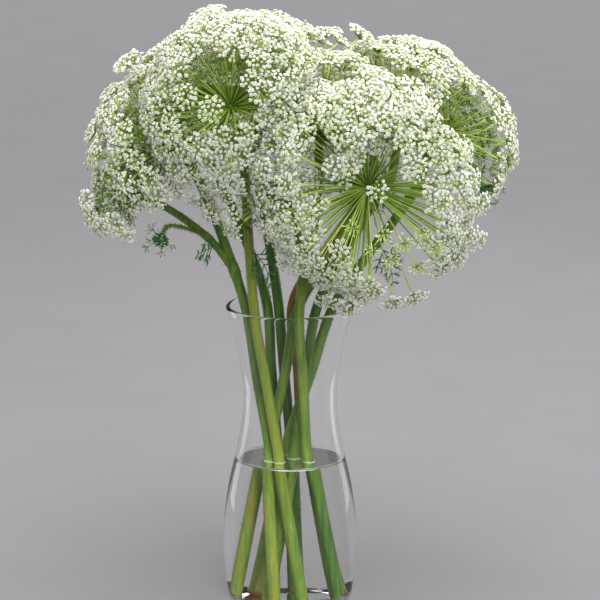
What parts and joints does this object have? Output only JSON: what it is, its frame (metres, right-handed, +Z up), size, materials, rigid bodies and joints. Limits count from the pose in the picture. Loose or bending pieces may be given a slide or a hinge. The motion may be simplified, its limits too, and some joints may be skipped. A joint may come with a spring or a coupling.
{
  "type": "queen annes lace in a vase",
  "caption": "Bunch of cut umbels on ribbed green stems, standing in water in a waisted clear glass vase.",
  "frame": {"origin": "centre of the vase's flat foot", "axes": "+Z up along the vase's axis, -Y to the front, where the largest umbel looks"},
  "size_m": [0.3245, 0.2515, 0.4553],
  "materials": {
    "glass": "polished",
    "water": "polished",
    "stem": "satin",
    "leaf": "matte",
    "umbel": "matte"
  },
  "bodies": {
    "root": {"vase": "glass", "water": "water", "stem_right_front": "stem", "stem_left_front": "stem", "stem_centre_front": "stem", "stem_top": "stem", "stem_right_top": "stem", "stem_right_side": "stem", "stem_left_top": "stem", "stem_back_left": "stem", "stem_back": "stem", "leaf_left": "leaf", "leaf_middle": "leaf", "leaf_right": "leaf", "umbel_right_front": "umbel", "umbel_left_front": "umbel", "umbel_centre_front": "umbel", "umbel_top": "umbel", "umbel_right_top": "umbel", "umbel_right_side": "umbel", "umbel_left_top": "umbel", "umbel_left_low": "umbel", "umbel_back_left": "umbel", "umbel_back": "umbel", "umbel_centre_low": "umbel", "umbel_left_young": "umbel", "umbel_right_young": "umbel"}
  },
  "joints": []
}
